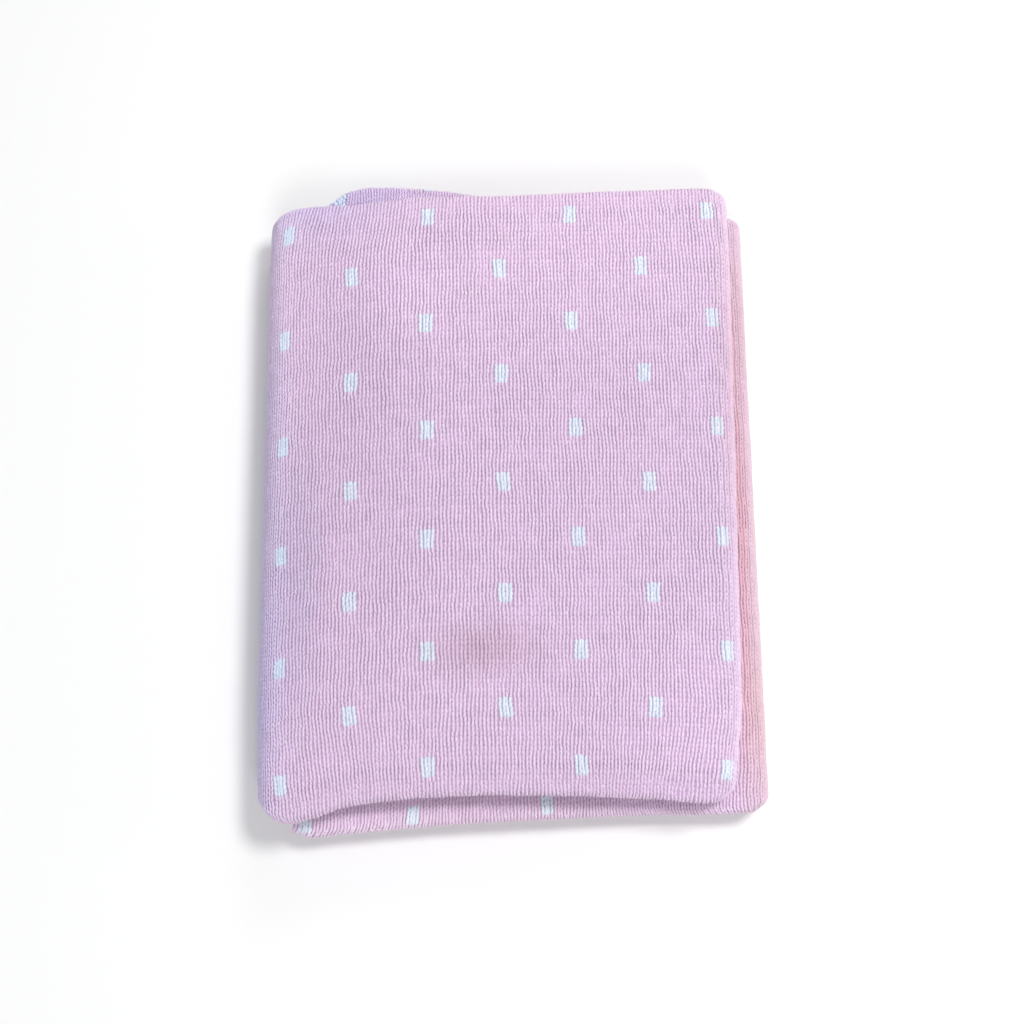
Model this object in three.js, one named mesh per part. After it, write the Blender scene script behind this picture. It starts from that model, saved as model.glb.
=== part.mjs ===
// A folded baby blanket: one knitted cotton sheet, folded in three across its length and then
// wound over itself across its width, so that every side that shows is a rounded fold.
// Millimetres, +Z up. X runs across the folded blanket, Y from its front to its back.
// The origin is at the middle of the underside.
import * as THREE from "three";

// The cloth, and how closely its layers lie.
const CLOTH = 2.7;
const LAYER_GAP = 0.35;
const PACKET = 3 * CLOTH + 2 * LAYER_GAP;
const RUN_GAP = 0.8;

// How far the folded edges reach across the blanket, at half its length.
const SPINE_REACH = -110.5;
const COVER_REACH = 98.6;
const LIP_REACH = 109.2;

// Where the two hidden ends of the sheet lie, inside the spine.
const COVER_END = -87;
const FILLING_END = -89.5;

// Facets along each run and fold. Runs are split more closely near their ends.
const RUN_STEPS = 8;
const EDGE_STEPS = 7;
const SPINE_STEPS = 11;
const PANEL_STEPS = 8;
const WIDE_FOLD_STEPS = 6;
const TIGHT_FOLD_STEPS = 4;

// Heights of the middle of the three-layer packet in each of its four runs.
const PITCH = PACKET + RUN_GAP;
const BASE_Z = PACKET / 2;
const FILLING_Z = BASE_Z + PITCH;
const UNDER_Z = FILLING_Z + PITCH;
const COVER_Z = UNDER_Z + PITCH;
const COVER_FOOT_Z = UNDER_Z - PACKET / 2 - RUN_GAP / 2;

// The packet's own two folds: a wide one at the front and a tight one at the back, and how far
// in from the packet's reach their centres lie.
const WIDE_R = CLOTH + LAYER_GAP;
const TIGHT_R = WIDE_R / 2;
const WIDE_INSET = WIDE_R + CLOTH / 2;
const TIGHT_INSET = TIGHT_R + CLOTH / 2;

// The centres of the three folds that run from front to back.
const SPINE_R = (COVER_Z - BASE_Z) / 2;
const EDGE_R = PITCH / 2;
const SPINE_X = SPINE_REACH + SPINE_R + PACKET / 2;
const COVER_EDGE_X = COVER_REACH - EDGE_R - PACKET / 2;
const LIP_EDGE_X = LIP_REACH - EDGE_R - PACKET / 2;

// The way of the packet across the blanket, from the hidden end under the cover, round the
// right edge, over the top, round the spine, along the floor and back over the lip.
const WAY = [
  { run: "under", z: UNDER_Z, from: COVER_END, to: COVER_EDGE_X },
  { fold: "cover edge", x: COVER_EDGE_X, z: UNDER_Z + EDGE_R, r: EDGE_R, start: -90, steps: EDGE_STEPS },
  { run: "cover", z: COVER_Z, from: COVER_EDGE_X, to: SPINE_X },
  { fold: "spine", x: SPINE_X, z: BASE_Z + SPINE_R, r: SPINE_R, start: 90, steps: SPINE_STEPS },
  { run: "base", z: BASE_Z, from: SPINE_X, to: LIP_EDGE_X },
  { fold: "lip edge", x: LIP_EDGE_X, z: BASE_Z + EDGE_R, r: EDGE_R, start: -90, steps: EDGE_STEPS },
  { run: "filling", z: FILLING_Z, from: LIP_EDGE_X, to: FILLING_END },
];

// Where the packet's front and back folds reach at places along its way. share is how far
// along its run or fold a place is, and skew how much it leans in X for each unit of Y.
const REACHES = [
  { on: "under", share: 0.0, front: -121, back: 140, skew: 0.0 },
  { on: "under", share: 0.5, front: -118, back: 145, skew: 0.0 },
  { on: "under", share: 1.0, front: -121, back: 148, skew: 0.003 },
  { on: "cover edge", share: 0.5, front: -120, back: 148.5, skew: 0.003 },
  { on: "cover", share: 0.0, front: -124, back: 151.5, skew: 0.003 },
  { on: "cover", share: 0.14, front: -122.3, back: 151.2, skew: 0.002 },
  { on: "cover", share: 0.37, front: -121, back: 149.8, skew: 0.0 },
  { on: "cover", share: 0.57, front: -120.8, back: 148, skew: 0.0 },
  { on: "cover", share: 0.75, front: -122.4, back: 147, skew: 0.0 },
  { on: "cover", share: 0.91, front: -126, back: 143.8, skew: -0.002 },
  { on: "cover", share: 1.0, front: -131.5, back: 143, skew: -0.003 },
  { on: "spine", share: 0.22, front: -132, back: 142, skew: -0.005 },
  { on: "spine", share: 0.5, front: -125, back: 139, skew: -0.006 },
  { on: "base", share: 0.0, front: -130, back: 141, skew: -0.004 },
  { on: "base", share: 0.3, front: -131, back: 151, skew: 0.0 },
  { on: "base", share: 0.65, front: -127.5, back: 149, skew: -0.008 },
  { on: "base", share: 1.0, front: -126, back: 144.5, skew: -0.018 },
  { on: "lip edge", share: 0.5, front: -123.5, back: 143.5, skew: -0.018 },
  { on: "filling", share: 0.0, front: -127.5, back: 144.5, skew: -0.018 },
  { on: "filling", share: 0.25, front: -128.8, back: 150, skew: -0.012 },
  { on: "filling", share: 0.5, front: -131, back: 152.5, skew: -0.004 },
  { on: "filling", share: 0.72, front: -133.6, back: 158, skew: 0.01 },
  { on: "filling", share: 0.88, front: -136.5, back: 159.6, skew: 0.022 },
  { on: "filling", share: 0.96, front: -138, back: 157, skew: 0.028 },
  { on: "filling", share: 1.0, front: -136, back: 151, skew: 0.03 },
];

// Slow swells of the pile's height: share of the height, and the waves' lengths and phase.
const SWELLS = [
  { share: 0.012, xLength: 190, yLength: 310, phase: 0.6 },
  { share: 0.009, xLength: 105, yLength: -170, phase: 2.1 },
  { share: 0.006, xLength: -64, yLength: 120, phase: 4.0 },
];
const DENT = { x: -12, y: -60, radius: 24, share: 0.03 };

// The cover droops over its front and back folds, and its wales draw in at the corners.
const DROOP_SHARE = 0.15;
const DROOP_WIDTH = 15;
const DRAW_IN = 4.5;
const DRAW_IN_AT = { front: [-78, -126], back: [112, 152], across: [20, 85], rim: [94, 112] };
const DRAW_IN_RIM_SHARE = 0.3;
const DRAW_IN_BACK_RIGHT_SHARE = 0.3;
const UPPER_BLEND = 5;

function smooth(from, to, value) {
  const s = THREE.MathUtils.clamp((value - from) / (to - from), 0, 1);
  return s * s * (3 - 2 * s);
}

// Places from 0 to 1 that lie closer together near both ends.
function crowded(steps) {
  return Array.from({ length: steps + 1 }, (_, i) => (1 - Math.cos((Math.PI * i) / steps)) / 2);
}

function even(steps) {
  return Array.from({ length: steps + 1 }, (_, i) => i / steps);
}

// Stops along the way, each with its place in X and Z and the normal (nx, nz) that points to
// the outside of every fold. Each also keeps its piece's name and its share.
function stopsAlongWay() {
  const stops = [];
  for (const piece of WAY) {
    const shares = piece.run ? crowded(RUN_STEPS) : even(piece.steps);
    const skipFirst = stops.length > 0 ? 1 : 0;
    for (const share of shares.slice(skipFirst)) {
      if (piece.run) {
        const heading = Math.sign(piece.to - piece.from);
        const x = THREE.MathUtils.lerp(piece.from, piece.to, share);
        stops.push({ on: piece.run, share, x, z: piece.z, nx: 0, nz: -heading });
      } else {
        const angle = THREE.MathUtils.degToRad(piece.start + 180 * share);
        const nx = Math.cos(angle);
        const nz = Math.sin(angle);
        stops.push({ on: piece.fold, share, x: piece.x + piece.r * nx, z: piece.z + piece.r * nz, nx, nz });
      }
    }
  }
  return stops;
}

// Distance along the way of a share of one of its pieces.
function distanceAt(name, share) {
  let before = 0;
  for (const piece of WAY) {
    const length = piece.run ? Math.abs(piece.to - piece.from) : Math.PI * piece.r;
    if ((piece.run ?? piece.fold) === name) return before + share * length;
    before += length;
  }
  throw new Error("no such piece: " + name);
}

// The reach of the packet at a distance along the way, by cubic pieces through the rows.
const KNOTS = REACHES.map((row) => ({ ...row, at: distanceAt(row.on, row.share) }));

function reachAt(distance, column) {
  let i = KNOTS.findIndex((knot) => knot.at >= distance) - 1;
  if (i < 0) i = distance <= KNOTS[0].at ? 0 : KNOTS.length - 2;
  const slopeAt = (k) => {
    const before = KNOTS[Math.max(k - 1, 0)];
    const after = KNOTS[Math.min(k + 1, KNOTS.length - 1)];
    return (after[column] - before[column]) / (after.at - before.at);
  };
  const width = KNOTS[i + 1].at - KNOTS[i].at;
  const s = THREE.MathUtils.clamp((distance - KNOTS[i].at) / width, 0, 1);
  const hermite = [2 * s ** 3 - 3 * s ** 2 + 1, s ** 3 - 2 * s ** 2 + s, 3 * s ** 2 - 2 * s ** 3, s ** 3 - s ** 2];
  return (
    hermite[0] * KNOTS[i][column] +
    hermite[1] * width * slopeAt(i) +
    hermite[2] * KNOTS[i + 1][column] +
    hermite[3] * width * slopeAt(i + 1)
  );
}

// The section of the packet from front to back, folded in three. The hidden inner panel comes
// first, then the wide front fold, the panel whose face shows, the tight back fold and the
// tucked panel. share runs from the wide fold's centre to the tight fold's.
function packetSection() {
  const section = [];
  const panel = (z1, heading) => {
    for (const s of crowded(PANEL_STEPS)) {
      section.push({ share: heading > 0 ? s : 1 - s, offset: 0, z1, ny: 0, nz: heading });
    }
  };
  const fold = (centreZ, r, steps, atFront) => {
    for (const s of even(steps).slice(1, -1)) {
      const angle = Math.PI * (atFront ? -0.5 - s : 0.5 - s);
      const ny = Math.cos(angle);
      const nz = Math.sin(angle);
      section.push({ share: atFront ? 0 : 1, offset: r * ny, z1: centreZ + r * nz, ny, nz });
    }
  };
  panel(-WIDE_R, -1);
  fold(0, WIDE_R, WIDE_FOLD_STEPS, true);
  panel(WIDE_R, 1);
  fold(TIGHT_R, TIGHT_R, TIGHT_FOLD_STEPS, false);
  panel(0, -1);
  return section;
}

// Where the cover's own front or back fold lies over a place in X.
function coverReach(x, column) {
  const share = THREE.MathUtils.clamp((COVER_EDGE_X - x) / (COVER_EDGE_X - SPINE_X), 0, 1);
  return reachAt(distanceAt("cover", share), column);
}

// The soft unevenness of the pile, the same for every layer: swells and a dent in its height,
// the cover's droop at the front and back, and the wales that draw in at its corners.
function settle(p, front, back) {
  let lift = 1;
  for (const swell of SWELLS) {
    lift += swell.share * Math.sin(2 * Math.PI * (p.x / swell.xLength + p.y / swell.yLength) + swell.phase);
  }
  const far = ((p.x - DENT.x) ** 2 + (p.y - DENT.y) ** 2) / DENT.radius ** 2;
  lift -= DENT.share * Math.exp(-far);
  const inFromEdge = Math.min(p.y - front, back - p.y);
  const droop = DROOP_SHARE * (1 - smooth(0, DROOP_WIDTH, inFromEdge));
  let z = p.z;
  if (z > COVER_FOOT_Z) z = COVER_FOOT_Z + (z - COVER_FOOT_Z) * (1 - droop);
  const across = Math.abs(p.x);
  const rim = 1 - (1 - DRAW_IN_RIM_SHARE) * smooth(...DRAW_IN_AT.rim, across);
  const corner = smooth(...DRAW_IN_AT.across, across) * rim;
  const backShare = p.x > 0 ? DRAW_IN_BACK_RIGHT_SHARE : 1;
  const end = Math.max(smooth(...DRAW_IN_AT.front, p.y), smooth(...DRAW_IN_AT.back, p.y) * backShare);
  const upper = smooth(COVER_FOOT_Z - UPPER_BLEND, COVER_FOOT_Z + UPPER_BLEND, p.z);
  const x = p.x - Math.sign(p.x) * DRAW_IN * corner * end * upper;
  return new THREE.Vector3(x, p.y, z * lift);
}

// One face of the sheet: side is +1 on the knit's face and -1 on its back.
function sheetPoint(stop, place, side) {
  const z1 = place.z1 + (side * CLOTH * place.nz) / 2;
  const wideCentre = stop.front + WIDE_INSET;
  const tightCentre = stop.back - TIGHT_INSET;
  const offset = place.offset + (side * CLOTH * place.ny) / 2;
  const y = THREE.MathUtils.lerp(wideCentre, tightCentre, place.share) + offset;
  const x = stop.x + stop.nx * z1 + stop.skew * y;
  const z = stop.z + stop.nz * z1;
  return settle(new THREE.Vector3(x, y, z), coverReach(x, "front"), coverReach(x, "back"));
}

function foldedSheet() {
  const stops = stopsAlongWay().map((stop) => {
    const at = distanceAt(stop.on, stop.share);
    return {
      ...stop,
      front: reachAt(at, "front"),
      back: reachAt(at, "back"),
      skew: reachAt(at, "skew"),
    };
  });
  const places = packetSection();
  const positions = [];
  for (const side of [1, -1]) {
    for (const stop of stops) {
      for (const place of places) positions.push(...sheetPoint(stop, place, side).toArray());
    }
  }
  const across = places.length;
  const perSide = stops.length * across;
  const index = [];
  // Each four-sided facet is split along the diagonal that rises to the right in plan, so that
  // layers that lie on each other are split alike.
  const quad = (a, b, c, d) => {
    const rise = (positions[3 * c] - positions[3 * a]) * (positions[3 * c + 1] - positions[3 * a + 1]);
    if (rise > 0) index.push(a, b, c, a, c, d);
    else index.push(b, c, d, b, d, a);
  };
  for (let i = 0; i < stops.length - 1; i++) {
    for (let j = 0; j < across - 1; j++) {
      const a = i * across + j;
      const b = a + across;
      quad(a, a + 1, b + 1, b);
      quad(perSide + a, perSide + b, perSide + b + 1, perSide + a + 1);
    }
  }
  for (let i = 0; i < stops.length - 1; i++) {
    const first = i * across;
    const last = first + across - 1;
    quad(first, first + across, perSide + first + across, perSide + first);
    quad(last, perSide + last, perSide + last + across, last + across);
  }
  for (let j = 0; j < across - 1; j++) {
    const end = (stops.length - 1) * across + j;
    quad(j, perSide + j, perSide + j + 1, j + 1);
    quad(end, end + 1, perSide + end + 1, perSide + end);
  }
  const geometry = new THREE.BufferGeometry();
  geometry.setAttribute("position", new THREE.Float32BufferAttribute(positions, 3));
  geometry.setIndex(index);
  return geometry;
}

// Stands the folded sheet on the surface, with the origin under its middle.
function standAtMiddle(geometry) {
  geometry.computeBoundingBox();
  const { min, max } = geometry.boundingBox;
  geometry.translate(-(min.x + max.x) / 2, -(min.y + max.y) / 2, -min.z);
  geometry.computeVertexNormals();
  return geometry;
}

const pinkCotton = new THREE.MeshStandardMaterial({ color: 0xe3c6df, roughness: 0.95, metalness: 0 });

const blanket = new THREE.Mesh(standAtMiddle(foldedSheet()), pinkCotton);
blanket.name = "knitted_sheet";

const foldedBlanket = new THREE.Group();
foldedBlanket.add(blanket);

export default foldedBlanket;
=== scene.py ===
import math

import bpy
import numpy as np
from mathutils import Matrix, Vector


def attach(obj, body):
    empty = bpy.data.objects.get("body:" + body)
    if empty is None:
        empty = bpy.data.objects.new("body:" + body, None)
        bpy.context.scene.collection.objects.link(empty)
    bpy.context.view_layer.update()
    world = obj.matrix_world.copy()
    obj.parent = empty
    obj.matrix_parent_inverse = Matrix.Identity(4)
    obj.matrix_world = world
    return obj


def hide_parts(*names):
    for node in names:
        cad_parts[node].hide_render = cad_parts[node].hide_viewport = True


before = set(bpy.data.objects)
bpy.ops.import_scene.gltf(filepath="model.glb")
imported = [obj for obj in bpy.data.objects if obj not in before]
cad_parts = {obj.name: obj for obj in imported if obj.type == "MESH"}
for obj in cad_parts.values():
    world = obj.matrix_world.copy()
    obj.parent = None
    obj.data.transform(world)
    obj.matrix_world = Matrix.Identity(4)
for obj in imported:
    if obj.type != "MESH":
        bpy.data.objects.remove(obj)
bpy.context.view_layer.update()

# The knitted sheet. One piece of cotton stockinette about 0.8 m square, knitted by machine and
# finished in the knitting at its edges. It is folded in three across its length into a flat
# packet, and the packet is wound over itself across its width, face outwards, in four runs.

MM = 0.001
CLOTH = 2.7 * MM
LAYER_GAP = 0.35 * MM
PACKET = 3 * CLOTH + 2 * LAYER_GAP
RUN_GAP = 0.8 * MM
SPINE_REACH = -110.5 * MM
COVER_REACH = 98.6 * MM
LIP_REACH = 109.2 * MM
COVER_END = -87 * MM
FILLING_END = -89.5 * MM

PITCH = PACKET + RUN_GAP
BASE_Z = PACKET / 2
FILLING_Z = BASE_Z + PITCH
UNDER_Z = FILLING_Z + PITCH
COVER_Z = UNDER_Z + PITCH
COVER_FOOT_Z = UNDER_Z - PACKET / 2 - RUN_GAP / 2

WIDE_R = CLOTH + LAYER_GAP
TIGHT_R = WIDE_R / 2
WIDE_OUTER = WIDE_R + CLOTH / 2
TIGHT_OUTER = TIGHT_R + CLOTH / 2
SPINE_R = (COVER_Z - BASE_Z) / 2
EDGE_R = PITCH / 2
SPINE_X = SPINE_REACH + SPINE_R + PACKET / 2
COVER_EDGE_X = COVER_REACH - EDGE_R - PACKET / 2
LIP_EDGE_X = LIP_REACH - EDGE_R - PACKET / 2

# The middle of the folded blanket's plan in these sizes; the frame has its origin there.
MIDDLE = (0.0595 * MM, 10.8224 * MM)

# The packet's way across the blanket. Runs go straight in X, and folds turn half round.
WAY = [
    {"name": "under", "z": UNDER_Z, "from": COVER_END, "to": COVER_EDGE_X, "steps": 26},
    {"name": "cover edge", "x": COVER_EDGE_X, "z": UNDER_Z + EDGE_R, "r": EDGE_R, "start": -90, "steps": 12},
    {"name": "cover", "z": COVER_Z, "from": COVER_EDGE_X, "to": SPINE_X, "steps": 34},
    {"name": "spine", "x": SPINE_X, "z": BASE_Z + SPINE_R, "r": SPINE_R, "start": 90, "steps": 20},
    {"name": "base", "z": BASE_Z, "from": SPINE_X, "to": LIP_EDGE_X, "steps": 26},
    {"name": "lip edge", "x": LIP_EDGE_X, "z": BASE_Z + EDGE_R, "r": EDGE_R, "start": -90, "steps": 12},
    {"name": "filling", "z": FILLING_Z, "from": LIP_EDGE_X, "to": FILLING_END, "steps": 26},
]
distance = outer_distance = 0.0
for piece in WAY:
    if "r" in piece:
        length = math.pi * piece["r"]
        outer_length = math.pi * (piece["r"] + PACKET / 2)
    else:
        length = outer_length = abs(piece["to"] - piece["from"])
    piece["at"] = distance
    piece["length"] = length
    piece["outer_at"] = outer_distance
    piece["outer_length"] = outer_length
    distance += length
    outer_distance += outer_length
WAY_LENGTH = distance
OUTER_LENGTH = outer_distance
PIECES = {piece["name"]: piece for piece in WAY}

# How far the packet's front and back folds reach at shares of each piece of the way, in
# millimetres, and how much the packet leans there in X for each unit of Y.
REACHES = [
    ("under", 0.0, -121, 140, 0.0),
    ("under", 0.5, -118, 145, 0.0),
    ("under", 1.0, -121, 148, 0.003),
    ("cover edge", 0.5, -120, 148.5, 0.003),
    ("cover", 0.0, -124, 151.5, 0.003),
    ("cover", 0.14, -122.3, 151.2, 0.002),
    ("cover", 0.37, -121, 149.8, 0.0),
    ("cover", 0.57, -120.8, 148, 0.0),
    ("cover", 0.75, -122.4, 147, 0.0),
    ("cover", 0.91, -126, 143.8, -0.002),
    ("cover", 1.0, -131.5, 143, -0.003),
    ("spine", 0.22, -132, 142, -0.005),
    ("spine", 0.5, -125, 139, -0.006),
    ("base", 0.0, -130, 141, -0.004),
    ("base", 0.3, -131, 151, 0.0),
    ("base", 0.65, -127.5, 149, -0.008),
    ("base", 1.0, -126, 144.5, -0.018),
    ("lip edge", 0.5, -123.5, 143.5, -0.018),
    ("filling", 0.0, -127.5, 144.5, -0.018),
    ("filling", 0.25, -128.8, 150, -0.012),
    ("filling", 0.5, -131, 152.5, -0.004),
    ("filling", 0.72, -133.6, 158, 0.01),
    ("filling", 0.88, -136.5, 159.6, 0.022),
    ("filling", 0.96, -138, 157, 0.028),
    ("filling", 1.0, -136, 151, 0.03),
]
KNOTS = {
    "at": np.array([PIECES[name]["at"] + share * PIECES[name]["length"] for name, share, *_ in REACHES]),
    "front": np.array([row[2] for row in REACHES]) * MM,
    "back": np.array([row[3] for row in REACHES]) * MM,
    "skew": np.array([row[4] for row in REACHES]),
}

# Slow swells of the pile's height, one dent, the cover's droop over its front and back folds,
# and the wales drawn in at its corners.
SWELLS = [
    {"share": 0.012, "x_length": 0.190, "y_length": 0.310, "phase": 0.6},
    {"share": 0.009, "x_length": 0.105, "y_length": -0.170, "phase": 2.1},
    {"share": 0.006, "x_length": -0.064, "y_length": 0.120, "phase": 4.0},
]
DENT = {"x": -12 * MM, "y": -60 * MM, "radius": 24 * MM, "share": 0.03}
DROOP_SHARE = 0.15
DROOP_WIDTH = 15 * MM
DRAW_IN = 4.5 * MM
DRAW_IN_FRONT = (-78 * MM, -126 * MM)
DRAW_IN_BACK = (112 * MM, 152 * MM)
DRAW_IN_ACROSS = (20 * MM, 85 * MM)
DRAW_IN_RIM = (94 * MM, 112 * MM)
DRAW_IN_RIM_SHARE = 0.3
DRAW_IN_BACK_RIGHT_SHARE = 0.3
UPPER_BLEND = 5 * MM

# Soft creases of the cover, from one place to another: troughs where the depth is above nought
# and ridges where it is below. They run out towards the bottom of the pile. In millimetres.
CREASES = [
    {"from": (-82, 128), "to": (-28, 139), "width": 5, "depth": 0.9},
    {"from": (-60, 118), "to": (0, 128), "width": 8, "depth": -0.4},
    {"from": (48, -119), "to": (98, -123), "width": 5, "depth": 1.0},
    {"from": (-94, -100), "to": (-93, 105), "width": 5, "depth": 0.5},
    {"from": (-100, -104), "to": (-62, -128), "width": 6, "depth": 0.7},
    {"from": (88, 60), "to": (92, -80), "width": 5, "depth": -0.4},
    {"from": (-8, -72), "to": (10, -40), "width": 9, "depth": 0.5},
    {"from": (-62, -20), "to": (-20, 40), "width": 14, "depth": 0.35},
    {"from": (20, 30), "to": (66, 100), "width": 15, "depth": 0.35},
]
CREASE_FOOT = (18 * MM, 36 * MM)


def crease_depth(x, y):
    """How far the creases lower the top of the pile at x and y."""
    depth = np.zeros_like(x)
    for crease in CREASES:
        start = np.array(crease["from"]) * MM
        way = np.array(crease["to"]) * MM - start
        share = np.clip(((x - start[0]) * way[0] + (y - start[1]) * way[1]) / (way @ way), 0, 1)
        off = np.hypot(x - start[0] - share * way[0], y - start[1] - share * way[1])
        depth += crease["depth"] * MM * np.exp(-((off / (crease["width"] * MM)) ** 2))
    return depth


def smooth(start, end, value):
    """A share that rises softly from nought at start to one at end."""
    s = np.clip((value - start) / (end - start), 0, 1)
    return s * s * (3 - 2 * s)


def reach_at(distance, column):
    """The packet's reach at distances along its way, by cubic pieces through the knots."""
    at = KNOTS["at"]
    value = KNOTS[column]
    before = np.maximum(np.arange(len(at)) - 1, 0)
    after = np.minimum(np.arange(len(at)) + 1, len(at) - 1)
    slope = (value[after] - value[before]) / (at[after] - at[before])
    i = np.clip(np.searchsorted(at, distance) - 1, 0, len(at) - 2)
    width = at[i + 1] - at[i]
    s = np.clip((distance - at[i]) / width, 0, 1)
    return (
        (2 * s**3 - 3 * s**2 + 1) * value[i]
        + (s**3 - 2 * s**2 + s) * width * slope[i]
        + (3 * s**2 - 2 * s**3) * value[i + 1]
        + (s**3 - s**2) * width * slope[i + 1]
    )


def cover_reach(x, column):
    """Where the cover's own front or back fold lies over places in X."""
    cover = PIECES["cover"]
    share = np.clip((COVER_EDGE_X - x) / (COVER_EDGE_X - SPINE_X), 0, 1)
    return reach_at(cover["at"] + share * cover["length"], column)


def settle(x, y, z):
    """The soft unevenness of the pile, the same for every layer."""
    lift = np.ones_like(x)
    for swell in SWELLS:
        waves = x / swell["x_length"] + y / swell["y_length"]
        lift += swell["share"] * np.sin(2 * np.pi * waves + swell["phase"])
    far = ((x - DENT["x"]) ** 2 + (y - DENT["y"]) ** 2) / DENT["radius"] ** 2
    lift -= DENT["share"] * np.exp(-far)
    in_from_edge = np.minimum(y - cover_reach(x, "front"), cover_reach(x, "back") - y)
    droop = DROOP_SHARE * (1 - smooth(0, DROOP_WIDTH, in_from_edge))
    z = np.where(z > COVER_FOOT_Z, COVER_FOOT_Z + (z - COVER_FOOT_Z) * (1 - droop), z)
    rim = 1 - (1 - DRAW_IN_RIM_SHARE) * smooth(*DRAW_IN_RIM, np.abs(x))
    corner = smooth(*DRAW_IN_ACROSS, np.abs(x)) * rim
    back_share = np.where(x > 0, DRAW_IN_BACK_RIGHT_SHARE, 1)
    end = np.maximum(smooth(*DRAW_IN_FRONT, y), smooth(*DRAW_IN_BACK, y) * back_share)
    upper = smooth(COVER_FOOT_Z - UPPER_BLEND, COVER_FOOT_Z + UPPER_BLEND, z)
    x = x - np.sign(x) * DRAW_IN * corner * end * upper
    z = z * lift - crease_depth(x, y) * smooth(*CREASE_FOOT, z)
    return np.stack([x - MIDDLE[0], y - MIDDLE[1], z], axis=-1)


def laid(distance, y, out):
    """Points at distances along the packet's way, at y, and out from the packet's middle."""
    x = np.zeros_like(distance)
    z = np.zeros_like(distance)
    out_x = np.zeros_like(distance)
    out_z = np.zeros_like(distance)
    for piece in WAY:
        here = distance >= piece["at"]
        share = np.clip((distance - piece["at"]) / piece["length"], 0, 1)
        if "r" in piece:
            angle = math.radians(piece["start"]) + math.pi * share
            piece_x = piece["x"] + piece["r"] * np.cos(angle)
            piece_z = piece["z"] + piece["r"] * np.sin(angle)
            piece_out_x = np.cos(angle)
            piece_out_z = np.sin(angle)
        else:
            piece_x = piece["from"] + (piece["to"] - piece["from"]) * share
            piece_z = np.full_like(distance, piece["z"])
            piece_out_x = np.zeros_like(distance)
            piece_out_z = np.full_like(distance, -np.sign(piece["to"] - piece["from"]))
        x = np.where(here, piece_x, x)
        z = np.where(here, piece_z, z)
        out_x = np.where(here, piece_out_x, out_x)
        out_z = np.where(here, piece_out_z, out_z)
    return settle(x + out_x * out + reach_at(distance, "skew") * y, y, z + out_z * out)


# The packet's section from front to back: the hidden inner panel, the wide front fold, the
# panel whose face shows, the tight back fold and the tucked panel. Each place has its share of
# the way from the wide fold's centre to the tight fold's, its offset, how far out it lies, and
# the direction (along, out) that the knit's face looks in.
PANEL_STEPS = 30
WIDE_FOLD_STEPS = 10
TIGHT_FOLD_STEPS = 7


def crowded(steps):
    """Places from 0 to 1 that lie closer together near both ends."""
    return (1 - np.cos(np.pi * np.arange(steps + 1) / steps)) / 2


section = []
for s in crowded(PANEL_STEPS):
    section.append((1 - s, 0, -WIDE_R, 0, -1))
for s in np.arange(1, WIDE_FOLD_STEPS) / WIDE_FOLD_STEPS:
    angle = math.pi * (-0.5 - s)
    section.append((0, WIDE_R * math.cos(angle), WIDE_R * math.sin(angle), math.cos(angle), math.sin(angle)))
for s in crowded(PANEL_STEPS):
    section.append((s, 0, WIDE_R, 0, 1))
for s in np.arange(1, TIGHT_FOLD_STEPS) / TIGHT_FOLD_STEPS:
    angle = math.pi * (0.5 - s)
    out = TIGHT_R + TIGHT_R * math.sin(angle)
    section.append((1, TIGHT_R * math.cos(angle), out, math.cos(angle), math.sin(angle)))
for s in crowded(PANEL_STEPS):
    section.append((1 - s, 0, 0, 0, -1))
share, offset, middle_out, look_along, look_out = np.array(section).T

stops = [0.0]
for piece in WAY:
    if "r" in piece:
        places = np.arange(1, piece["steps"] + 1) / piece["steps"]
    else:
        places = crowded(piece["steps"])[1:]
    stops += list(piece["at"] + places * piece["length"])
stops = np.array(stops)

# The stitches that stand on the knit's face are pieces of their own, so this sheet's face lies
# a little under the level of the finished knit's.
FACE_SINK = 0.75 * MM
across = len(section)
along = len(stops)
grid_at = np.repeat(stops, across)
wide_centre = reach_at(grid_at, "front") + WIDE_OUTER
tight_centre = reach_at(grid_at, "back") - TIGHT_OUTER
sides = []
for half in (CLOTH / 2 - FACE_SINK, -CLOTH / 2):
    y = wide_centre + (tight_centre - wide_centre) * np.tile(share, along)
    y = y + np.tile(offset + half * look_along, along)
    sides.append(laid(grid_at, y, np.tile(middle_out + half * look_out, along)))
vertices = np.concatenate(sides)

second = along * across
faces = []
for i in range(along - 1):
    a = i * across + np.arange(across - 1)
    b = a + across
    faces.append(np.stack([a, a + 1, b + 1, b], axis=1))
    faces.append(np.stack([second + a, second + b, second + b + 1, second + a + 1], axis=1))
first = np.arange(along - 1) * across
last = first + across - 1
faces.append(np.stack([first, first + across, second + first + across, second + first], axis=1))
faces.append(np.stack([last, second + last, second + last + across, last + across], axis=1))
j = np.arange(across - 1)
end = (along - 1) * across + j
faces.append(np.stack([j, second + j, second + j + 1, j + 1], axis=1))
faces.append(np.stack([end, end + 1, second + end + 1, second + end], axis=1))
faces = np.concatenate(faces)

sheet_mesh = bpy.data.meshes.new("knitted_sheet_cloth")
sheet_mesh.from_pydata(vertices.tolist(), [], faces.tolist())
sheet_mesh.polygons.foreach_set("use_smooth", [True] * len(faces))

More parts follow.
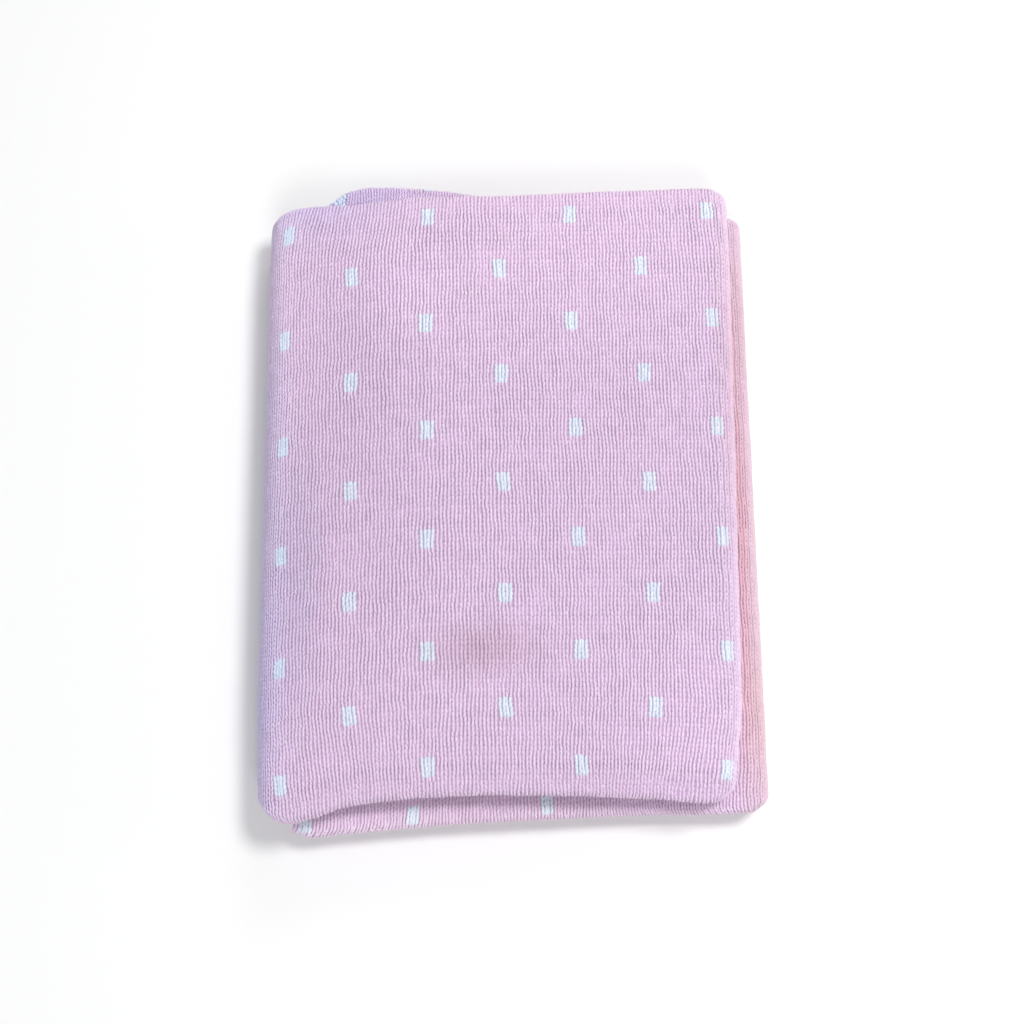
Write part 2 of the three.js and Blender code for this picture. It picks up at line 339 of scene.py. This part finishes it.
# Its UV map is the flat sheet in metres: across the wales in U and along them in V.
flat_out = np.array([p["outer_at"] for p in WAY] + [OUTER_LENGTH])
flat_at = np.array([p["at"] for p in WAY] + [WAY_LENGTH])
flat_u = np.interp(grid_at, flat_at, flat_out)
steps_y = np.diff(vertices[: len(section)], axis=0)
flat_v = np.tile(np.concatenate([[0], np.cumsum(np.linalg.norm(steps_y, axis=1))]), along)
flat_uv = np.tile(np.stack([flat_u, flat_v], axis=1), (2, 1))
uv_layer = sheet_mesh.uv_layers.new(name="flat_sheet")
uv_layer.uv.foreach_set("vector", flat_uv[faces.ravel()].ravel())
sheet = bpy.data.objects.new("knitted_sheet_cloth", sheet_mesh)
bpy.context.collection.objects.link(sheet)


def new_material(name):
    """A new material, its nodes and links, and its shader."""
    material = bpy.data.materials.new(name)
    material.use_nodes = True
    nodes = material.node_tree.nodes
    return material, nodes, material.node_tree.links, nodes["Principled BSDF"]


# Patches painted over the cotton's colour stand in for light and shade: lighter and darker patches over the
# top, cooler painted shade at the left edge and the spine, warmer painted light and shade at the right edges
# with a painted shade line in the right crease, painted shade in the dent, and painted light on the front
# and back rims that lie in shade. Places and reaches are in millimetres.
LIGHT_AND_SHADE_PATCHES = [
    {"at": (40, 130, 20), "reach": (150, 100, 90), "tint": (1.10, 1.10, 1.08)},
    {"at": (90, -105, 20), "reach": (70, 90, 90), "tint": (1.09, 1.09, 1.09)},
    {"at": (-72, 10, 20), "reach": (60, 150, 90), "tint": (0.92, 0.92, 0.93)},
    {"at": (-112, -10, 20), "reach": (22, 190, 60), "tint": (0.84, 0.92, 0.98)},
    {"at": (-115, -106, 18), "reach": (30, 100, 60), "tint": (0.85, 0.91, 1.0)},
    {"at": (110, -15, 12), "reach": (24, 190, 40), "tint": (1.01, 0.945, 0.84)},
    {"at": (108, -98, 14), "reach": (20, 60, 40), "tint": (0.95, 0.90, 0.83)},
    {"at": (104, 95, 14), "reach": (14, 70, 30), "tint": (0.92, 0.87, 0.82)},
    {"at": (101.5, -25, 18), "reach": (5, 130, 14), "tint": (1.0, 0.84, 0.82)},
    {"at": (-95, 136, 30), "reach": (60, 36, 50), "tint": (0.91, 0.97, 1.03)},
    {"at": (97, 55, 25), "reach": (12, 120, 30), "tint": (0.97, 0.90, 0.88)},
    # Painted light on the front and back rims, which lie in shade.
    {"at": (5, -146, 12), "reach": (150, 26, 30), "tint": (1.12, 1.12, 1.06)},
    {"at": (-66, -144, 14), "reach": (56, 20, 26), "tint": (1.12, 1.14, 1.12)},
    {"at": (-58, 146, 16), "reach": (58, 22, 26), "tint": (1.10, 1.16, 1.18)},
    {"at": (-46, 90, 36), "reach": (32, 36, 30), "tint": (1.07, 1.07, 1.07)},
    {"at": (-92, -45, 34), "reach": (18, 95, 40), "tint": (0.86, 0.89, 0.93)},
    # Painted shade in the dent.
    {"at": (-12, -70, 38), "reach": (38, 19, 30), "tint": (0.86, 0.82, 0.81)},
]


def painted_light_and_shade(nodes, links, colour):
    """The given colour with the patches of painted light and shade laid over it."""
    object_place = nodes.new("ShaderNodeTexCoord").outputs["Object"]
    for patch in LIGHT_AND_SHADE_PATCHES:
        centred = nodes.new("ShaderNodeMapping")
        centred.vector_type = "TEXTURE"
        centred.inputs["Location"].default_value = Vector(patch["at"]) * MM
        centred.inputs["Scale"].default_value = Vector(patch["reach"]) * MM
        round_patch = nodes.new("ShaderNodeTexGradient")
        round_patch.gradient_type = "SPHERICAL"
        soft = nodes.new("ShaderNodeMapRange")
        soft.interpolation_type = "SMOOTHSTEP"
        mix = nodes.new("ShaderNodeMix")
        mix.data_type = "RGBA"
        mix.blend_type = "MULTIPLY"
        mix.inputs["B"].default_value = (*patch["tint"], 1)
        links.new(object_place, centred.inputs["Vector"])
        links.new(centred.outputs["Vector"], round_patch.inputs["Vector"])
        links.new(round_patch.outputs["Fac"], soft.inputs["Value"])
        links.new(soft.outputs["Result"], mix.inputs["Factor"])
        links.new(colour, mix.inputs["A"])
        colour = mix.outputs["Result"]
    return colour


# The ground sheet shows only in the gaps between the stitches. Its darker pink is painted shade for those
# gaps, and the loop pattern paints deeper shade in its grooves.
GROUND_PAINTED_SHADE = (0.62, 0.45, 0.63, 1)
GROUND_PAINTED_DEEP_SHADE = (0.52, 0.35, 0.54, 1)
GROUND_COURSE_SCALE = 78
GROUND_WALE_SCALE = 50

sheet_painted_shade, nodes, links, shader = new_material("pink_cotton_ground")
shader.inputs["Roughness"].default_value = 0.95
shader.inputs["Specular IOR Level"].default_value = 0.2
uv = nodes.new("ShaderNodeUVMap")
uv.uv_map = "flat_sheet"
courses = nodes.new("ShaderNodeTexWave")
courses.wave_type = "BANDS"
courses.bands_direction = "Y"
courses.inputs["Scale"].default_value = GROUND_COURSE_SCALE
courses.inputs["Distortion"].default_value = 0.6
wales = nodes.new("ShaderNodeTexWave")
wales.wave_type = "BANDS"
wales.bands_direction = "X"
wales.inputs["Scale"].default_value = GROUND_WALE_SCALE
wales.inputs["Distortion"].default_value = 0.3
loops = nodes.new("ShaderNodeMath")
loops.operation = "MULTIPLY"
tint = nodes.new("ShaderNodeMix")
tint.data_type = "RGBA"
tint.inputs["A"].default_value = GROUND_PAINTED_DEEP_SHADE
tint.inputs["B"].default_value = GROUND_PAINTED_SHADE
bump = nodes.new("ShaderNodeBump")
bump.inputs["Strength"].default_value = 0.6
bump.inputs["Distance"].default_value = 0.5 * MM
links.new(uv.outputs["UV"], courses.inputs["Vector"])
links.new(uv.outputs["UV"], wales.inputs["Vector"])
links.new(courses.outputs["Fac"], loops.inputs[0])
links.new(wales.outputs["Fac"], loops.inputs[1])
links.new(loops.outputs["Value"], tint.inputs["Factor"])
# The ground's colour also takes the patches of painted light and shade.
links.new(painted_light_and_shade(nodes, links, tint.outputs["Result"]), shader.inputs["Base Color"])
links.new(loops.outputs["Value"], bump.inputs["Height"])
links.new(bump.outputs["Normal"], shader.inputs["Normal"])
sheet_mesh.materials.append(sheet_painted_shade)
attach(sheet, "root")
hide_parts("knitted_sheet")

# The pink stitches. Each is a loop of soft two-ply cotton yarn that shows as a V of two legs.
# They stand in wales from front to back, and were knitted together, so they cover every face of
# the blanket that can be seen.

COURSE = 2.03 * MM
SPOT_WALES = 20
SPOT_COURSES = 24
SPOT_X = 27.5 * MM
SPOT_Y = 38.0 * MM

# The pitch of the wales along the outer face, in millimetres. It is widest a little left of the
# cover's middle, and closest on the part of the filling that the cover hides.
WALE_PITCHES = [
    ("under", 0.0, 3.13),
    ("cover", 0.3, 3.12),
    ("cover", 0.5, 3.18),
    ("cover", 0.65, 3.35),
    ("cover", 0.8, 3.35),
    ("cover", 1.0, 2.95),
    ("spine", 0.4, 3.0),
    ("spine", 1.0, 3.13),
    ("base", 1.0, 3.13),
    ("lip edge", 1.0, 2.85),
    ("filling", 0.2, 2.42),
    ("filling", 0.4, 2.80),
    ("filling", 0.5, 2.78),
    ("filling", 1.0, 2.78),
]
pitch_at = np.array([PIECES[n]["outer_at"] + s * PIECES[n]["outer_length"] for n, s, _ in WALE_PITCHES])
pitch = np.array([p for *_, p in WALE_PITCHES]) * MM
FINE_STEPS = 4000
fine_outer = np.linspace(0, OUTER_LENGTH, FINE_STEPS + 1)
fine_wales = np.diff(fine_outer) / np.interp(fine_outer[:-1], pitch_at, pitch)
fine_count = np.concatenate([[0], np.cumsum(fine_wales)])
spot_outer = PIECES["cover"]["outer_at"] + COVER_EDGE_X - SPOT_X
fine_count -= np.interp(spot_outer, fine_outer, fine_count)

# The wales drift a little across the cover and the spine, and wander by a fraction of a stitch.
WALE_DRIFT = 0.0125
WANDER = [
    {"size": 0.22 * MM, "u_length": 0.061, "v_length": 0.047, "phase": 0.3},
    {"size": 0.16 * MM, "u_length": -0.023, "v_length": 0.019, "phase": 1.9},
    {"size": 0.09 * MM, "u_length": 0.0117, "v_length": 0.0083, "phase": 4.4},
]

# Places where the knit was pulled a little across or along as it was folded, in millimetres.
PULLS = [
    {"at": (50, -25), "reach": (75, 80), "across": 1.5, "along": 0},
    {"at": (30, 150), "reach": (160, 30), "across": 0, "along": 2.8},
    {"at": (90, 110), "reach": (45, 70), "across": 0, "along": 2.2},
    {"at": (104, -115), "reach": (30, 50), "across": 3.4, "along": -2.8},
    {"at": (-100, -118), "reach": (25, 25), "across": -2.5, "along": 0},
]

# The courses dip towards the front at the left of the cover, and stay so down the spine.
COURSE_DIP = 8.0 * MM
COURSE_DIP_FROM = -10 * MM
COURSE_DIP_WIDTH = 88 * MM
COURSE_DIP_MOST = 1.05
COURSE_DIP_POWER = 1.8

# At the filling's left a small tuck takes up a few wales, out of sight.
TUCK_X = -56 * MM
TUCK_WALES = 4
tuck_outer = PIECES["filling"]["outer_at"] + LIP_EDGE_X - TUCK_X
tuck_count = np.interp(tuck_outer, fine_outer, fine_count)
fine_count += np.where(fine_outer > tuck_outer, TUCK_WALES, 0)

# The filling's courses lie further to the front than the cover's, most at the back left.
FILLING_DIPS = [
    {"from": 70 * MM, "to": 14 * MM, "front": 7.6 * MM, "back": 1.8 * MM},
    {"from": 14 * MM, "to": -88 * MM, "front": 7.2 * MM, "back": 21.5 * MM},
]
FILLING_FRONT = -144 * MM
FILLING_BACK = 140 * MM

COURSES_EACH_WAY = 90
wale_numbers = np.arange(math.ceil(fine_count[0]), math.ceil(fine_count[-1])) + 0.5
course_numbers = np.arange(-COURSES_EACH_WAY, COURSES_EACH_WAY) + 0.5
wale, course = (grid.ravel() for grid in np.meshgrid(wale_numbers, course_numbers, indexing="ij"))
outer = np.interp(wale, fine_count, fine_outer)
cover_x = COVER_EDGE_X - (outer - PIECES["cover"]["outer_at"])
dip_share = np.clip((COURSE_DIP_FROM - cover_x) / COURSE_DIP_WIDTH, 0, COURSE_DIP_MOST)
v = SPOT_Y + course * COURSE - COURSE_DIP * dip_share**COURSE_DIP_POWER
filling_x = LIP_EDGE_X - (outer - PIECES["filling"]["outer_at"])
on_filling = outer > PIECES["lip edge"]["outer_at"]
back_part = np.clip((v - FILLING_FRONT) / (FILLING_BACK - FILLING_FRONT), 0, 1)
for dip in FILLING_DIPS:
    dip_part = np.clip((dip["from"] - filling_x) / (dip["from"] - dip["to"]), 0, 1)
    size = dip["front"] + (dip["back"] - dip["front"]) * back_part
    v = v - np.where(on_filling, size * dip_part, 0)
drift_share = 1 - smooth(PIECES["spine"]["outer_at"], PIECES["base"]["outer_at"], outer)
u = outer + WALE_DRIFT * drift_share * v
for pull in PULLS:
    off_across = (cover_x - pull["at"][0] * MM) / (pull["reach"][0] * MM)
    off_along = (v - pull["at"][1] * MM) / (pull["reach"][1] * MM)
    near = np.exp(-(off_across**2) - off_along**2)
    u = u - pull["across"] * MM * near
    v = v + pull["along"] * MM * near
for wave in WANDER:
    turns = u / wave["u_length"] + v / wave["v_length"]
    u = u + wave["size"] * np.sin(2 * np.pi * turns + wave["phase"])

# A spot is two wales wide and four courses long, and stands half a repeat further on in every
# other column of spots. These are the first wale and the first course of each in the repeat.
SPOTS = [
    {"wale": 19, "course": 22},
    {"wale": 9, "course": 10},
]
SPOT_WIDTH = 2
SPOT_LENGTH = 4
white = np.zeros(len(u), bool)
for spot in SPOTS:
    wales_in = (np.floor(wale) - spot["wale"]) % SPOT_WALES
    courses_in = (np.floor(course) - spot["course"]) % SPOT_COURSES
    white |= (wales_in < SPOT_WIDTH) & (courses_in < SPOT_LENGTH)

# The last wale stands at the very end of the sheet, where the filling's left end shows.
LAST_WALE_IN = 0.3 * MM
u = np.minimum(u, OUTER_LENGTH - LAST_WALE_IN)

# The floats behind a spot draw its two wales together from the course before it on, and leave
# a narrow gap at either side. Each pair is a wale's place by the spot's first, and its share.
SPOT_DRAW = 0.16 * MM
DRAWN_WALES = [(0, 1), (1, -1), (-1, -0.8), (2, 0.8)]
for spot in SPOTS:
    near_courses = (np.floor(course) - spot["course"] + 1) % SPOT_COURSES <= SPOT_LENGTH
    for step, side in DRAWN_WALES:
        drawn_wale = (spot["wale"] + step) % SPOT_WALES
        here = near_courses & (np.floor(wale) % SPOT_WALES == drawn_wale)
        u = u + np.where(here, side * SPOT_DRAW, 0)


def face_places(u, v):
    """Points on the finished knit's face, at u across the wales and v along them."""
    at = np.interp(u, flat_out, flat_at)
    wide = reach_at(at, "front") + WIDE_OUTER
    tight = reach_at(at, "back") - TIGHT_OUTER
    front_turn = np.clip((wide - v) / WIDE_OUTER, 0, np.pi)
    back_turn = np.clip((v - tight) / TIGHT_OUTER, 0, np.pi)
    y = np.clip(v, wide, tight) - WIDE_OUTER * np.sin(front_turn) + TIGHT_OUTER * np.sin(back_turn)
    wide_out = WIDE_OUTER * np.cos(front_turn)
    tight_out = TIGHT_R + TIGHT_OUTER * np.cos(back_turn)
    out = np.where(back_turn > 0, tight_out, wide_out)
    return laid(at, y, out), (wide - v) / WIDE_OUTER, (v - tight) / TIGHT_OUTER


# Which stitches can be seen: the whole face of the outer pieces of the way, the two roundings
# of the run under the cover, and the rims of the filling.
SEEN_TURN = math.radians(168)
ROUNDING_FROM = 0.25
RIM = 13 * MM
RIM_RIGHT = 12 * MM
points, front_turn, back_turn = face_places(u, v)
raw_x = points[:, 0] + MIDDLE[0]
raw_y = points[:, 1] + MIDDLE[1]
seen = (front_turn < SEEN_TURN) & (back_turn < SEEN_TURN) & (u > 0) & (u < OUTER_LENGTH)
place_names = np.array(list(PIECES))
place = np.searchsorted(flat_out[1:-1], u, side="right")
on = place_names[np.clip(place, 0, len(place_names) - 1)]
rounding = np.maximum(front_turn, back_turn) > ROUNDING_FROM
rim = (raw_y < cover_reach(raw_x, "front") + RIM) | (raw_y > cover_reach(raw_x, "back") - RIM)
rim |= raw_x > COVER_REACH - RIM_RIGHT
seen &= (on != "under") | rounding
seen &= (wale < tuck_count) | (wale > tuck_count + TUCK_WALES)
seen &= (on != "filling") | rim
u, v, outer, points, on, white = (each[seen] for each in (u, v, outer, points, on, white))

STEP = 0.05 * MM
across_way = (face_places(u + STEP, v)[0] - face_places(u - STEP, v)[0]) / (2 * STEP)
along_way = (face_places(u, v + STEP)[0] - face_places(u, v - STEP)[0]) / (2 * STEP)
normal = np.cross(along_way, across_way)
normal /= np.linalg.norm(normal, axis=1, keepdims=True)
wale_way = along_way / np.linalg.norm(along_way, axis=1, keepdims=True)
local_pitch = np.interp(outer, pitch_at, pitch)
stretch = np.stack([
    np.linalg.norm(across_way, axis=1) * local_pitch,
    np.linalg.norm(along_way, axis=1) * COURSE,
    np.ones(len(u)),
], axis=1)


def add_input(tree, name, kind, default=None):
    """A named input of the tree; its identifier is handed back."""
    socket = tree.interface.new_socket(name=name, in_out="INPUT", socket_type=kind)
    if default is not None:
        socket.default_value = default
    return socket.identifier


# One tree makes the stitches of any yarn. The points it works on carry the way of the wale, the
# way the face looks, and the pitch of wale and course there.
tree = bpy.data.node_groups.new("knit_stitches", "GeometryNodeTree")
add_input(tree, "Points", "NodeSocketGeometry")
inputs = {
    "length": add_input(tree, "Leg Length", "NodeSocketFloat", 1.75),
    "width": add_input(tree, "Leg Width", "NodeSocketFloat", 0.47),
    "thickness": add_input(tree, "Leg Thickness", "NodeSocketFloat", 1.2 * MM),
    "offset": add_input(tree, "Leg Offset", "NodeSocketFloat", 0.25),
    "lean": add_input(tree, "Leg Lean", "NodeSocketFloat", math.radians(9)),
    "dip": add_input(tree, "Tip Dip", "NodeSocketFloat", 0.45 * MM),
    "uneven": add_input(tree, "Unevenness", "NodeSocketFloat", 0.06),
    "wander": add_input(tree, "Wander", "NodeSocketFloat", 0.75 * MM),
    "wander_scale": add_input(tree, "Wander Scale", "NodeSocketFloat", 160.0),
    "seed": add_input(tree, "Seed", "NodeSocketInt", 4),
    "yarn": add_input(tree, "Yarn", "NodeSocketMaterial"),
}
tree.interface.new_socket(name="Stitches", in_out="OUTPUT", socket_type="NodeSocketGeometry")


def node(kind, settings=None, **values):
    """A node of the tree, with its settings, and its inputs set or linked by name or number."""
    made = tree.nodes.new(kind)
    for key, value in (settings or {}).items():
        setattr(made, key, value)
    for key, value in values.items():
        socket = made.inputs[int(key[1:])] if key[0] == "n" and key[1:].isdigit() else made.inputs[key]
        if isinstance(value, bpy.types.NodeSocket):
            tree.links.new(value, socket)
        else:
            socket.default_value = value
    return made


def maths(operation, a, b=0.0):
    return node("ShaderNodeMath", {"operation": operation}, n0=a, n1=b).outputs[0]


def vectors(operation, a, b):
    return node("ShaderNodeVectorMath", {"operation": operation}, n0=a, n1=b).outputs[0]


def scaled(vector, size):
    return node("ShaderNodeVectorMath", {"operation": "SCALE"}, n0=vector, Scale=size).outputs[0]


def named(name, kind):
    return node("GeometryNodeInputNamedAttribute", {"data_type": kind}, Name=name).outputs[0]


# A leg is a small spindle, one unit long in Y. Four times the square of Y is one at its tips,
# which dip into the knit.
TIP_FACTOR = -4.0
given = tree.nodes.new("NodeGroupInput").outputs
leg = node("GeometryNodeMeshUVSphere", Segments=4, Rings=3, Radius=0.5).outputs["Mesh"]
leg = node("GeometryNodeTransform", Geometry=leg, Rotation=(math.pi / 2, 0, 0)).outputs["Geometry"]
leg = node("GeometryNodeSetShadeSmooth", n0=leg).outputs[0]
leg_point = node("GeometryNodeInputPosition").outputs[0]
parts = node("ShaderNodeSeparateXYZ", n0=leg_point).outputs
tip = maths("MULTIPLY", parts["Y"], parts["Y"])
tip_dip = maths("DIVIDE", given["Tip Dip"], given["Leg Thickness"])
sink = maths("MULTIPLY", maths("MULTIPLY", tip, TIP_FACTOR), tip_dip)
bend = node("ShaderNodeCombineXYZ", n0=0.0, n1=0.0, n2=sink).outputs[0]
leg = node("GeometryNodeSetPosition", n0=leg, Offset=bend).outputs[0]
store = {"data_type": "FLOAT_VECTOR", "domain": "POINT"}
leg = node("GeometryNodeStoreNamedAttribute", store, n0=leg, Name="yarn_place", Value=leg_point).outputs[0]

facing = named("facing", "FLOAT_VECTOR")
heading = named("heading", "FLOAT_VECTOR")
pitches = node("ShaderNodeSeparateXYZ", n0=named("pitches", "FLOAT_VECTOR")).outputs
sideways = vectors("CROSS_PRODUCT", heading, facing)
axes = {"primary_axis": "Z", "secondary_axis": "Y"}
upright = node("FunctionNodeAxesToRotation", axes, n0=facing, n1=heading).outputs[0]


def random_value(low, high, seed_step):
    """A random number for each leg, from the seed and a step of its own."""
    seed = maths("ADD", given["Seed"], float(seed_step))
    made = node("FunctionNodeRandomValue", {"data_type": "FLOAT"}, n2=low, n3=high, Seed=seed)
    return made.outputs[1]


SIZE_DRAW = 10
TONE_DRAW = 20
astray = node("ShaderNodeTexNoise", Scale=given["Wander Scale"], Detail=1.5).outputs["Color"]
astray = scaled(vectors("SUBTRACT", astray, (0.5, 0.5, 0.5)), given["Wander"])
loops_at = node("GeometryNodeSetPosition", n0=given["Points"], Offset=astray).outputs[0]
joined = node("GeometryNodeJoinGeometry")
for side in (-1, 1):
    minus = maths("MULTIPLY", given["Unevenness"], -1.0)
    shift = maths("MULTIPLY", maths("MULTIPLY", given["Leg Offset"], float(side)), pitches["X"])
    legs_at = node("GeometryNodeSetPosition", n0=loops_at, Offset=scaled(sideways, shift)).outputs[0]
    lean = maths("MULTIPLY", given["Leg Lean"], float(-side))
    turn = maths("ADD", lean, random_value(minus, given["Unevenness"], side))
    turned = node("FunctionNodeAxisAngleToRotation", Axis=(0, 0, 1), Angle=turn).outputs[0]
    local = {"rotation_space": "LOCAL"}
    rotation = node("FunctionNodeRotateRotation", local, n0=upright, n1=turned).outputs[0]
    larger = maths("ADD", random_value(minus, given["Unevenness"], SIZE_DRAW + side), 1.0)
    size = node(
        "ShaderNodeCombineXYZ",
        n0=maths("MULTIPLY", maths("MULTIPLY", given["Leg Width"], pitches["X"]), larger),
        n1=maths("MULTIPLY", given["Leg Length"], pitches["Y"]),
        n2=maths("MULTIPLY", given["Leg Thickness"], larger),
    ).outputs[0]
    legs = node(
        "GeometryNodeInstanceOnPoints",
        n0=legs_at,
        Instance=leg,
        Rotation=rotation,
        Scale=size,
    ).outputs[0]
    tone = random_value(0.0, 1.0, TONE_DRAW + side)
    store = {"data_type": "FLOAT", "domain": "INSTANCE"}
    legs = node("GeometryNodeStoreNamedAttribute", store, n0=legs, Name="tone", Value=tone).outputs[0]
    tree.links.new(legs, joined.inputs[0])
realized = node("GeometryNodeRealizeInstances", n0=joined.outputs[0]).outputs[0]
finished = node("GeometryNodeSetMaterial", n0=realized, Material=given["Yarn"]).outputs[0]
tree.links.new(finished, tree.nodes.new("NodeGroupOutput").inputs[0])


# How far under the knit's face the middle of a leg lies.
LEG_DEPTH = 0.55 * MM


def knit(name, chosen, yarn, **sizes):
    """The stitches at the chosen points, as one plain mesh."""
    mesh = bpy.data.meshes.new(name + "_points")
    middle = points[chosen] - normal[chosen] * LEG_DEPTH
    mesh.from_pydata(middle.tolist(), [], [])
    for key, values in (("facing", normal), ("heading", wale_way), ("pitches", stretch)):
        attribute = mesh.attributes.new(key, "FLOAT_VECTOR", "POINT")
        attribute.data.foreach_set("vector", values[chosen].ravel())
    holder = bpy.data.objects.new(name + "_points", mesh)
    bpy.context.collection.objects.link(holder)
    modifier = holder.modifiers.new("stitches", "NODES")
    modifier.node_group = tree
    modifier[inputs["yarn"]] = yarn
    for key, value in sizes.items():
        modifier[inputs[key]] = value
    depsgraph = bpy.context.evaluated_depsgraph_get()
    evaluated = holder.evaluated_get(depsgraph)
    plain = bpy.data.meshes.new_from_object(evaluated, preserve_all_data_layers=True, depsgraph=depsgraph)
    plain.name = name
    for key in ("facing", "heading", "pitches"):
        if key in plain.attributes:
            plain.attributes.remove(plain.attributes[key])
    made = bpy.data.objects.new(name, plain)
    bpy.context.collection.objects.link(made)
    bpy.data.objects.remove(holder)
    bpy.data.meshes.remove(mesh)
    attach(made, "root")
    return made


def yarn_material(name, light, deep):
    """Soft two-ply cotton: matt and slightly fuzzy, with its twist running slantwise."""
    material, nodes, links, shader = new_material(name)
    shader.inputs["Roughness"].default_value = 0.9
    shader.inputs["Specular IOR Level"].default_value = 0.25
    shader.inputs["Sheen Weight"].default_value = 0.25
    shader.inputs["Sheen Roughness"].default_value = 0.6
    place = nodes.new("ShaderNodeAttribute")
    place.attribute_name = "yarn_place"
    tone = nodes.new("ShaderNodeAttribute")
    tone.attribute_name = "tone"
    ply = nodes.new("ShaderNodeTexWave")
    ply.wave_type = "BANDS"
    ply.bands_direction = "DIAGONAL"
    ply.inputs["Scale"].default_value = 1.6
    ply.inputs["Distortion"].default_value = 0.8
    fibres = nodes.new("ShaderNodeTexNoise")
    fibres.inputs["Scale"].default_value = 900
    fibres.inputs["Detail"].default_value = 3
    coordinates = nodes.new("ShaderNodeTexCoord")
    heights = nodes.new("ShaderNodeMath")
    heights.operation = "MULTIPLY_ADD"
    heights.inputs[1].default_value = 0.5
    bump = nodes.new("ShaderNodeBump")
    bump.inputs["Strength"].default_value = 0.5
    bump.inputs["Distance"].default_value = 0.15 * MM
    mix = nodes.new("ShaderNodeMix")
    mix.data_type = "RGBA"
    mix.inputs["A"].default_value = deep
    mix.inputs["B"].default_value = light
    links.new(place.outputs["Vector"], ply.inputs["Vector"])
    links.new(coordinates.outputs["Object"], fibres.inputs["Vector"])
    links.new(fibres.outputs["Fac"], heights.inputs[0])
    links.new(ply.outputs["Fac"], heights.inputs[2])
    links.new(heights.outputs["Value"], bump.inputs["Height"])
    links.new(bump.outputs["Normal"], shader.inputs["Normal"])
    links.new(tone.outputs["Fac"], mix.inputs["Factor"])
    # The yarn's colour takes the patches of painted light and shade.
    links.new(painted_light_and_shade(nodes, links, mix.outputs["Result"]), shader.inputs["Base Color"])
    return material


PINK_LIGHT = (0.79, 0.625, 0.81, 1)
PINK_DULL = (0.735, 0.57, 0.755, 1)
pink_yarn = yarn_material("pink_cotton_yarn", PINK_LIGHT, PINK_DULL)
pink = ~white
left = points[:, 0] < 0
PINK_PIECES = [
    ("top_knit_left", pink & (on == "cover") & left),
    ("top_knit_right", pink & (on == "cover") & ~left),
    ("spine_knit", pink & (on == "spine")),
    ("right_edges_knit", pink & ((on == "cover edge") | (on == "lip edge"))),
    ("underside_knit_left", pink & (on == "base") & left),
    ("underside_knit_right", pink & (on == "base") & ~left),
    ("inner_layers_knit", pink & ((on == "under") | (on == "filling"))),
]
for name, chosen in PINK_PIECES:
    made = knit(name, chosen, pink_yarn)

# The white spots. They are stitches of undyed white cotton knitted in with the pink ones, so
# they are of the same yarn and size, only a little plumper.

WHITE_LIGHT = (0.74, 0.78, 0.89, 1)
WHITE_DULL = (0.68, 0.72, 0.84, 1)
white_yarn = yarn_material("white_cotton_yarn", WHITE_LIGHT, WHITE_DULL)
spots = knit("white_spots_knit", white, white_yarn, width=0.60, length=1.9, thickness=1.35 * MM, seed=9)

# The pale floor that the blanket lies on.

FLOOR_HALF = 2.5
FLOOR_PALE = (0.88, 0.88, 0.88, 1)
floor_mesh = bpy.data.meshes.new("floor")
corners = [(-1, -1), (1, -1), (1, 1), (-1, 1)]
floor_mesh.from_pydata([(x * FLOOR_HALF, y * FLOOR_HALF, 0) for x, y in corners], [], [(0, 1, 2, 3)])
floor = bpy.data.objects.new("floor", floor_mesh)
bpy.context.collection.objects.link(floor)
floor_paint, nodes, links, shader = new_material("pale_floor")
shader.inputs["Base Color"].default_value = FLOOR_PALE
shader.inputs["Roughness"].default_value = 0.9
shader.inputs["Specular IOR Level"].default_value = 0.1
floor_mesh.materials.append(floor_paint)

# The light: one soft key lamp high at the right and a little behind, weaker ones in front,
# behind and low at either side, and an even pale surround.

MIDDLE_TOP = Vector((0, 0, 0.02))


def soft_lamp(name, place, size, power, colour=(1, 1, 1)):
    """A round lamp at a place, turned to the middle of the blanket."""
    lamp = bpy.data.lights.new(name, "AREA")
    lamp.shape = "DISK"
    lamp.size = size
    lamp.energy = power
    lamp.color = colour
    holder = bpy.data.objects.new(name, lamp)
    holder.location = place
    holder.rotation_euler = (MIDDLE_TOP - Vector(place)).to_track_quat("-Z", "Y").to_euler()
    bpy.context.collection.objects.link(holder)


soft_lamp("lamp_key", (0.50, 0.27, 1.25), size=0.35, power=10.5)
soft_lamp("lamp_front", (0.1, -0.9, 1.10), size=0.6, power=5.6)
soft_lamp("lamp_back", (0.3, 1.1, 0.80), size=0.6, power=3.0)
soft_lamp("lamp_left", (-1.3, -0.2, 0.35), size=0.6, power=3.1, colour=(0.85, 0.95, 1.0))
soft_lamp("lamp_right", (1.3, 0.05, 0.35), size=0.6, power=1.5, colour=(1.0, 0.85, 0.8))
surround = bpy.data.worlds.new("surround")
surround.use_nodes = True
background = surround.node_tree.nodes["Background"]
background.inputs["Color"].default_value = (1, 1, 1, 1)
background.inputs["Strength"].default_value = 0.37
bpy.context.scene.world = surround
bpy.context.scene.view_settings.view_transform = "Standard"

# The camera stands almost straight above, a little in front.

CAMERA_TARGET = Vector((-0.06, -10.82, 37.6)) * MM
CAMERA_DISTANCE = 680 * MM
CAMERA_ELEVATION = math.radians(78)
camera = bpy.data.cameras.new("camera")
camera.lens = 55.3
camera.sensor_width = 36
camera.clip_start = 0.01
viewpoint = bpy.data.objects.new("camera", camera)
back = Vector((0, -math.cos(CAMERA_ELEVATION), math.sin(CAMERA_ELEVATION)))
viewpoint.location = CAMERA_TARGET + CAMERA_DISTANCE * back
viewpoint.rotation_euler = (-back).to_track_quat("-Z", "Y").to_euler()
bpy.context.collection.objects.link(viewpoint)
bpy.context.scene.camera = viewpoint
